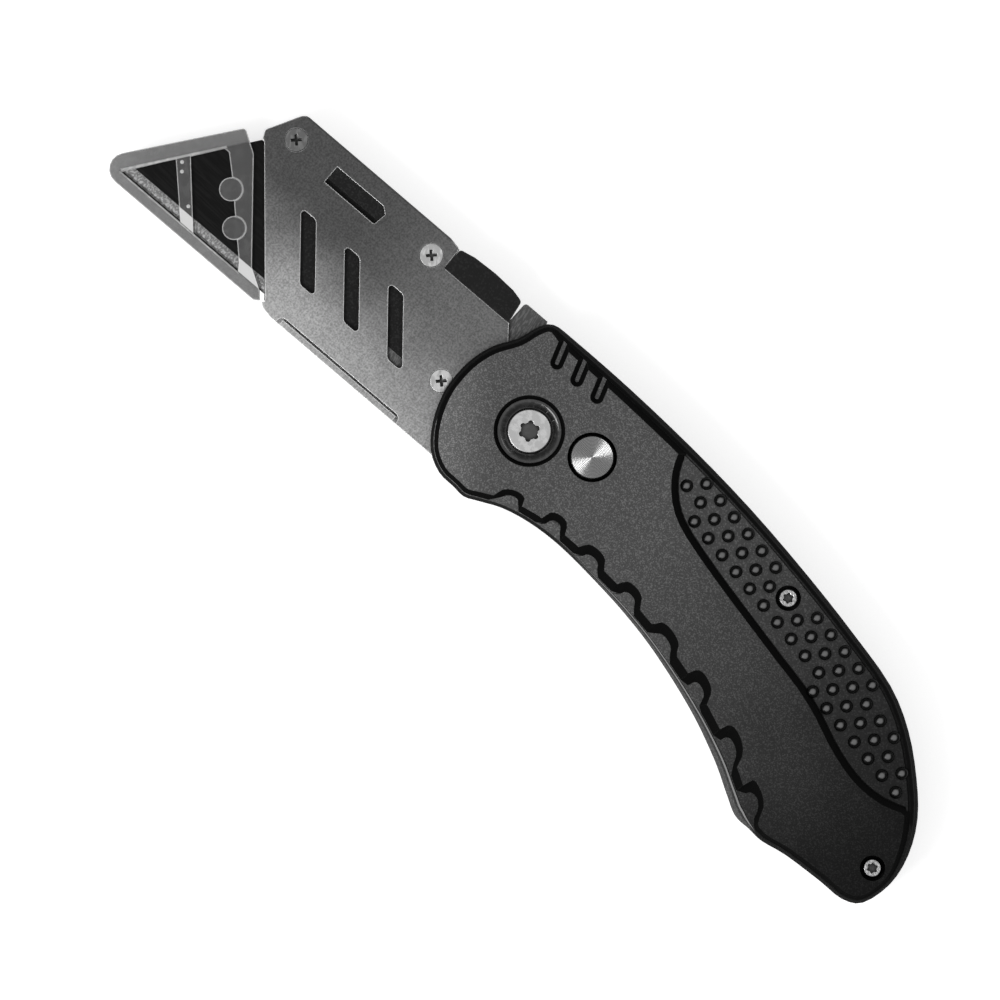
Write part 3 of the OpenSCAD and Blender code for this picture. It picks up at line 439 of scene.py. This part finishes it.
def geometry_tree(name, numbers):
    """A Geometry Nodes tree that takes a mesh, named numbers and a material, and the nodes at its ends."""
    made = bpy.data.node_groups.new(name, "GeometryNodeTree")
    made.interface.new_socket("Geometry", in_out="INPUT", socket_type="NodeSocketGeometry")
    for label, value in numbers.items():
        made.interface.new_socket(label, in_out="INPUT", socket_type=FLOAT).default_value = value
    made.interface.new_socket("Material", in_out="INPUT", socket_type="NodeSocketMaterial")
    made.interface.new_socket("Geometry", in_out="OUTPUT", socket_type="NodeSocketGeometry")
    return made, add(made, "NodeGroupInput").outputs, add(made, "NodeGroupOutput")


def grow(name, mesh, tree, values, node, material):
    """Makes a piece of a node from the mesh, with the tree and its named values."""
    piece = bpy.data.objects.new(name, mesh)
    scene.collection.objects.link(piece)
    modifier = piece.modifiers.new(tree.name, "NODES")
    modifier.node_group = tree
    sockets = {item.name: item.identifier for item in tree.interface.items_tree if item.in_out == "INPUT"}
    for label, value in values.items():
        modifier[sockets[label]] = value
    modifier[sockets["Material"]] = material
    make_plain(piece)
    settle(piece, node, material)


# A dome stands on each point of the mesh
domes, given, result = geometry_tree("domes", {"Foot radius": 1.05 * mm, "Height": 0.6 * mm})
ball = add(domes, "GeometryNodeMeshUVSphere", {"Segments": 20, "Rings": 12, "Radius": 1.0})
size = add(domes, "ShaderNodeCombineXYZ", {
    0: given["Foot radius"], 1: given["Foot radius"], 2: given["Height"],
})
stood = add(domes, "GeometryNodeInstanceOnPoints", {
    "Points": given["Geometry"], "Instance": ball.outputs["Mesh"], "Scale": size.outputs[0],
})
real = add(domes, "GeometryNodeRealizeInstances", {"Geometry": stood.outputs[0]})
smooth = add(domes, "GeometryNodeSetShadeSmooth", {"Geometry": real.outputs[0]})
made = add(domes, "GeometryNodeSetMaterial", {"Geometry": smooth.outputs[0], "Material": given["Material"]})
domes.links.new(made.outputs[0], result.inputs[0])

# The pad's own domes have flat tops. They are pressed to just under its skin, and round ones stand there.
same_level = 0.01 * mm
sunk = 0.02 * mm
for side, up in (("front", 1), ("back", -1)):
    node = side + "_grip_pad"
    pad = whole_faces(node)
    outward = [face for face in pad.faces if face.normal.z * up > 0.99]
    skin = max(outward, key=lambda face: face.calc_area()).calc_center_median().z
    tip = max(vert.co.z * up for vert in pad.verts) * up
    middles = [face.calc_center_median() for face in outward]
    tips = [middle for middle in middles if abs(middle.z - tip) < same_level]
    for vert in pad.verts:
        if (vert.co.z - skin) * up > same_level:
            vert.co.z = skin - up * sunk
    dress(node, rubber, 0.12, pad)
    feet = bpy.data.meshes.new(side + "_dome_feet")
    feet.from_pydata([(middle.x, middle.y, skin) for middle in tips], [], [])
    grow(side + "_grip_domes", feet, domes, {"Height": abs(tip - skin)}, node, polished)

# --- Backspacer and posts ---
# A black nylon strip between the scales, and the steel posts that the handle screws enter.

nylon, tree, shader = finish("black_nylon", roughness=0.5, specular_ior_level=0.1)
coat = flaked(tree, 0.008, 0.018, 0.5, 4.0)
# Lighter edges: partly worn, partly a painted glint
wear_and_glint = calc(tree, "MULTIPLY", edge_wear_and_glint(tree, 0.15, 0.6), 0.4)
feed(tree, between(tree, wear_and_glint, coat["Color"], grey(0.06)), shader, "Base Color")
bump(tree, shader, coat["Height"], 0.008)
dress("backspacer", nylon, 0.15)

# Fine scratches: long thin patches in one direction, of which a share show
scratches, given, result = effect(
    "scratches",
    {"Turn": (FLOAT, 0.0), "Length mm": (FLOAT, 3.0), "Per mm": (FLOAT, 6.0), "Share": (FLOAT, 0.4)},
    {"Mask": FLOAT},
)
place = add(scratches, "ShaderNodeTexCoord").outputs["Object"]
turned = add(
    scratches, "ShaderNodeVectorRotate", {"Vector": place, "Angle": given["Turn"]}, rotation_type="Z_AXIS",
).outputs[0]
narrow = calc(scratches, "DIVIDE", given["Per mm"], mm)
long = calc(scratches, "DIVIDE", 1.0 / mm, given["Length mm"])
stretch = add(scratches, "ShaderNodeCombineXYZ", {0: long, 1: narrow, 2: narrow}).outputs[0]
drawn = add(scratches, "ShaderNodeVectorMath", {0: turned, 1: stretch}, operation="MULTIPLY").outputs[0]
lines = add(scratches, "ShaderNodeTexNoise", {"Vector": drawn, "Scale": 1.0, "Detail": 3.0}).outputs[0]
low = calc(scratches, "MULTIPLY_ADD", given["Share"], -0.4, 0.66)
scratches.links.new(ramp(scratches, lines, low, calc(scratches, "ADD", low, 0.12)), result.inputs["Mask"])


def scratched(tree, turn, length, per, share):
    """A mask of scratches, so many millimetres long and so many side by side to the millimetre."""
    values = {"Turn": turn, "Length mm": length, "Per mm": per, "Share": share}
    return add(tree, "ShaderNodeGroup", values, node_tree=scratches).outputs[0]


def metal(
    name, dark, light, roughness, turn=0.3, length=3.0, per=5.0, edge=0.7, tint=(1, 1, 1),
    shade_below=None, shaded_before=None,
):
    """Bare metal with fine scratches in one direction and bright edges, partly worn and partly a painted glint.
    Nearer the mid-plane than a height given in millimetres, the sockets are painted dark as shade, before a length
    given in millimetres from the pivot the metal is painted darker as shade, and shade is painted in the recesses."""
    material, tree, shader = finish(name, metallic=1.0)
    mark = scratched(tree, turn, length, per, 0.5)
    wear_and_glint = edge_wear_and_glint(tree, 0.12, 0.4)
    low, high, bright = ([tone * part for part in tint] + [1] for tone in (dark, light, edge))
    coloured = between(tree, wear_and_glint, between(tree, mark, low, high), bright)
    # Painted shade: what lies deeper than the given height is dark
    if shade_below:
        rise = from_middle(tree, places(tree)[1]["Z"])
        socket_shade = ramp(tree, rise, (shade_below - 0.1) * mm, shade_below * mm, 0.9, 0.0)
        coloured = between(tree, socket_shade, coloured, grey(0.035))
    # Painted shade: what lies before the given length is darker
    if shaded_before:
        front_shade = ramp(tree, places(tree)[1]["X"], *along(shaded_before - 3, shaded_before + 3), 0.32, 1.0)
        coloured = scaled(tree, coloured, front_shade)
    feed(tree, shaded_in_recesses(tree, coloured, 0.9, 0.92, 0.02), shader, "Base Color")
    feed(tree, ramp(tree, mark, 0.0, 1.0, roughness, roughness * 0.75), shader, "Roughness")
    bump(tree, shader, mark, 0.003)
    return material


screw_steel = metal("plated_steel", 0.34, 0.5, 0.3, turn=0.9)
dress("handle_posts", screw_steel, 0.1)

# --- Pivot ---
# A turned steel barrel, its screw from the front and a bronze bush and washers, with a glossy black collar
# round each end. The stop pin beside it takes the open holder's shoulder.

# What lies deeper than the screw head's top is painted dark as shade
pivot_steel = metal("turned_steel", 0.46, 0.6, 0.3, turn=1.3, length=1.0, per=0.9, shade_below=7.4)
bronze = metal("bronze", 0.55, 0.75, 0.35, tint=(1.0, 0.72, 0.38))
gloss, tree, shader = finish("glossy_black", specular_ior_level=0.6)
coat = flaked(tree, 0.026, 0.04, 0.4, 2.0)
feed(tree, coat["Color"], shader, "Base Color")
feed(tree, ramp(tree, coat["Height"], 0.0, 1.0, 0.1, 0.24), shader, "Roughness")
for node in ("pivot_barrel", "pivot_screw", "stop_pin"):
    dress(node, pivot_steel, 0.1)
for node in ("front_pivot_collar", "back_pivot_collar"):
    dress(node, gloss, 0.12)
for node in ("front_washer", "back_washer", "pivot_bush"):
    dress(node, bronze, 0.05)

# --- Handle screws ---
# Plated screws with a six-lobed socket in a flat head, sunk in the scales at the pad's edge and at the tail.
# They enter the posts between the scales from both sides.

# What lies deeper than the screw heads' tops is painted dark as shade
handle_screw_steel = metal("plated_screw_steel", 0.3, 0.6, 0.25, turn=0.4, length=0.6, shade_below=7.1)
for node in ("front_handle_screws", "back_handle_screws"):
    dress(node, handle_screw_steel, 0.12)

# --- Lock ---
# A steel push button, its top spun in fine rings, on a stem through the tang with a collar that locks it. A
# coil spring under the button pushes it out.

ring_pitch = 0.22 * mm
spun, tree, shader = finish("spun_steel", metallic=1.0, roughness=0.22)
button_low, button_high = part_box("lock_button")
button_middle = (button_low + button_high) / 2
centred = add(
    tree, "ShaderNodeVectorMath", {0: places(tree)[0], 1: button_middle}, operation="SUBTRACT",
).outputs[0]
parts = add(tree, "ShaderNodeSeparateXYZ", {0: centred}).outputs
level_place = add(tree, "ShaderNodeCombineXYZ", {0: parts["X"], 1: parts["Y"]}).outputs[0]
radius = add(tree, "ShaderNodeVectorMath", {0: level_place}, operation="LENGTH").outputs["Value"]
rings = calc(tree, "SINE", calc(tree, "MULTIPLY", radius, 2 * math.pi / ring_pitch))
feed(tree, between(tree, ramp(tree, rings, -1.0, 1.0), grey(0.19), grey(0.36)), shader, "Base Color")
bump(tree, shader, rings, 0.012)
dress("lock_button", spun, 0.1)

tang_steel = metal("ground_steel", 0.075, 0.125, 0.45, turn=1.4, length=1.2, per=3.5, edge=0.4)
dress("lock_collar", tang_steel, 0.08)
spring_steel = metal("spring_steel", 0.35, 0.5, 0.3)
spring = frame["nodes"]["lock_spring"]
spring.data.materials.clear()
spring.data.materials.append(spring_steel)

# --- Blade holder ---
# Two stamped stainless plates with slanted slots, over a black nylon carrier and the ground steel tang. Three
# cross-head screws clamp them together.

plates, tree, shader = finish("stamped_stainless", metallic=1.0)
place, spot = places(tree)
upright = scratched(tree, math.pi / 2, 2.5, 2.6, 0.45)
lengthwise = scratched(tree, 0.0, 3.0, 2.2, 0.4)
sand = add(tree, "ShaderNodeTexNoise", {
    "Vector": per_mm(tree, place, 3.2), "Scale": 1.0, "Detail": 3.0,
}).outputs[0]
mark = calc(tree, "MULTIPLY_ADD", upright, 0.16, ramp(tree, sand, 0.3, 0.7, 0.0, 0.7))
mark = calc(tree, "MULTIPLY_ADD", lengthwise, 0.14, mark)

# The steel is painted brighter towards the belly as light, and more even near the handle. Its spine edge is
# painted near-black as shade.
belly_light = ramp(tree, wandering(tree, place, spot["Y"], 0.09, 9), *across(10, -9))
rear = ramp(tree, spot["X"], *along(-45, -20))
belly_light = calc(tree, "MULTIPLY", belly_light, calc(tree, "MULTIPLY_ADD", rear, -0.4, 1.0))
bright = calc(tree, "MULTIPLY_ADD", rear, 0.22, belly_light)
plain_tone = between(tree, bright, grey(0.055), grey(0.25))
marked_tone = between(tree, bright, grey(0.1), grey(0.48))
# Near-white edges: a painted glint, with a little wear
coloured = between(tree, edge_wear_and_glint(tree, 0.26, 0.1), between(tree, mark, plain_tone, marked_tone), grey(0.92))
spine_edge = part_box("front_plate")[1].y
spine_edge_shade = ramp(tree, spot["Y"], spine_edge - 0.35 * mm, spine_edge - 0.15 * mm, 0.0, 0.8)
feed(tree, between(tree, spine_edge_shade, coloured, grey(0.03)), shader, "Base Color")
feed(tree, ramp(tree, mark, 0.0, 1.0, 0.48, 0.38), shader, "Roughness")
bump(tree, shader, mark, 0.004)

for node in ("front_plate", "back_plate"):
    dress(node, plates, 0.18)
dress("blade_carrier", nylon, 0.1)
dress("tang", tang_steel, 0.12)
# The sockets are painted dark as shade, and the front screw is painted darker as shade
holder_screw_steel = metal(
    "holder_screw_steel", 0.42, 0.62, 0.3, turn=0.9, length=1.4, per=1.6, shade_below=2.15, shaded_before=-45,
)
dress("holder_screws", holder_screw_steel, 0.07)

# --- Release lever ---
# A spring-steel latch that rocks on its pin and catches the blade's notch, with a moulded black thumb button
# on its end and a bent leaf under it.

button_plastic, tree, shader = finish("button_plastic", roughness=0.42, specular_ior_level=0.15)
coat = flaked(tree, 0.005, 0.012, 0.4, 3.5)
# Lighter rim: partly worn, partly a painted highlight
wear_and_glint = calc(tree, "MULTIPLY", edge_wear_and_glint(tree, 0.25, 0.5), 0.5)
feed(tree, between(tree, wear_and_glint, coat["Color"], grey(0.12)), shader, "Base Color")
bump(tree, shader, coat["Height"], 0.008)
dress("release_button", button_plastic, 0.3)
dress("release_latch", spring_steel, 0.06)
dress("release_spring", spring_steel, 0.04)

# --- Blade ---
# A hardened trapezoid blade whose flats are painted near-black as a painted dark reflection, with a bright bevel
# ground along its edge. The edge itself is honed to a thin dark line.

bevel_width = 1.9 * mm
edge_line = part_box("blade")[0].y
grind_top = edge_line + bevel_width
blade_steel, tree, shader = finish("steel_with_painted_reflection", metallic=1.0)
spot = places(tree)[1]
rolled = scratched(tree, 0.05, 6.0, 4.0, 0.5)
dark_reflection_tone = between(tree, rolled, grey(0.009), grey(0.013))
grind = scratched(tree, math.pi / 2, 0.4, 3.2, 0.5)
bevel_tone = between(tree, grind, grey(0.13), grey(0.27))
past_honing = ramp(tree, spot["Y"], edge_line + 0.15 * mm, edge_line + 0.3 * mm)
bevel_tone = between(tree, past_honing, grey(0.02), bevel_tone)
ground = calc(tree, "LESS_THAN", spot["Y"], grind_top)
feed(tree, between(tree, ground, dark_reflection_tone, bevel_tone), shader, "Base Color")
feed(tree, ramp(tree, grind, 0.0, 1.0, 0.42, 0.32), shader, "Roughness")
bump(tree, shader, grind, 0.003)
dress("blade", blade_steel, 0.02)

# --- Blade guard ---
# A snap-on guard moulded in milky clear plastic, with a rim, a rail, a slanted bar and two bosses. The bright
# bevel that shows through it is painted on it as light, and pale lines along its edges are painted highlights.
# Three small studs stand on its face, and thin pale beads, painted as highlight lines, run along its window.

# Half the guard's thickness, in millimetres
guard_half = 1.5
milky, tree, shader = finish("milky_plastic", roughness=0.32, specular_ior_level=0.4)
coat = flaked(tree, 0.075, 0.105, 0.6, 1.2)
spot = places(tree)[1]
soft = 0.1 * mm
# Painted light: the blade's bright bevel, seen through the guard, is painted on it
painted_bevel_band = within(tree, spot["Y"], (edge_line, edge_line + soft), (grind_top - soft, grind_top))
painted_bevel_band = calc(tree, "MULTIPLY", painted_bevel_band, ramp(tree, spot["X"], *along(-70.5, -69.5)))
body = between(tree, calc(tree, "MULTIPLY", painted_bevel_band, 0.9), coat["Color"], grey(0.85))
stud_foot, stud_head = (guard_half + 0.02) * mm, (guard_half + 0.19) * mm
on_stud = within(
    tree, from_middle(tree, spot["Z"]),
    (stud_foot, stud_foot + 0.04 * mm), (stud_head - 0.03 * mm, stud_head),
)
body = between(tree, on_stud, body, grey(0.6))
# Painted highlights: pale, more opaque lines along the edges
edge = edge_wear_and_glint(tree, 0.35, 0.1)
feed(tree, between(tree, edge, body, grey(0.75)), shader, "Base Color")
feed(tree, ramp(tree, edge, 0.0, 1.0, 0.68, 0.88), shader, "Alpha")
dress("blade_guard", milky, 0.2)

guard_low, guard_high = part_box("blade_guard")
guard_face = (guard_low.z + guard_high.z) / 2 + guard_half * mm
stud_places = [at(x, y) for x, y in ((-71.9, -3.4), (-70.9, -4.6), (-66.4, -8.25))]
studs = bpy.data.meshes.new("guard_stud_feet")
studs.from_pydata([(place.x, place.y, guard_face) for place in stud_places], [], [])
stud_size = {"Foot radius": 0.32 * mm, "Height": 0.15 * mm}
grow("guard_studs", studs, domes, stud_size, "blade_guard", milky)

# On both faces one bead slants up the window's front and a finer one runs along its foot. Their pale colour is
# a painted highlight. Each is given by its ends and its radius, in millimetres.
bead_level = guard_half - 0.08
bead_runs = (((-78.7, -10.9), (-67.9, 3.3), 0.24), ((-78.7, -11.25), (-53, -11.25), 0.14))
bead_shape = bmesh.new()
for start, end, radius in bead_runs:
    for level in (-bead_level, bead_level):
        foot, tip = at(*start, level), at(*end, level)
        run = tip - foot
        stood = run.to_track_quat("Z", "Y").to_matrix().to_4x4()
        stood.translation = (foot + tip) / 2
        bmesh.ops.create_cone(
            bead_shape, cap_ends=True, segments=12, radius1=radius * mm, radius2=radius * mm,
            depth=run.length, matrix=stood,
        )
beads = bpy.data.meshes.new("guard_beads")
bead_shape.to_mesh(beads)
bead_shape.free()
beads.shade_smooth()
bead_piece = bpy.data.objects.new("guard_beads", beads)
scene.collection.objects.link(bead_piece)
# The beads' pale colour is a painted highlight
clear, tree, shader = finish("highlight_bead", roughness=0.35, specular_ior_level=0.4)
coat = flaked(tree, 0.36, 0.5, 0.6, 1.2)
feed(tree, coat["Color"], shader, "Base Color")
settle(bead_piece, "blade_guard", clear)
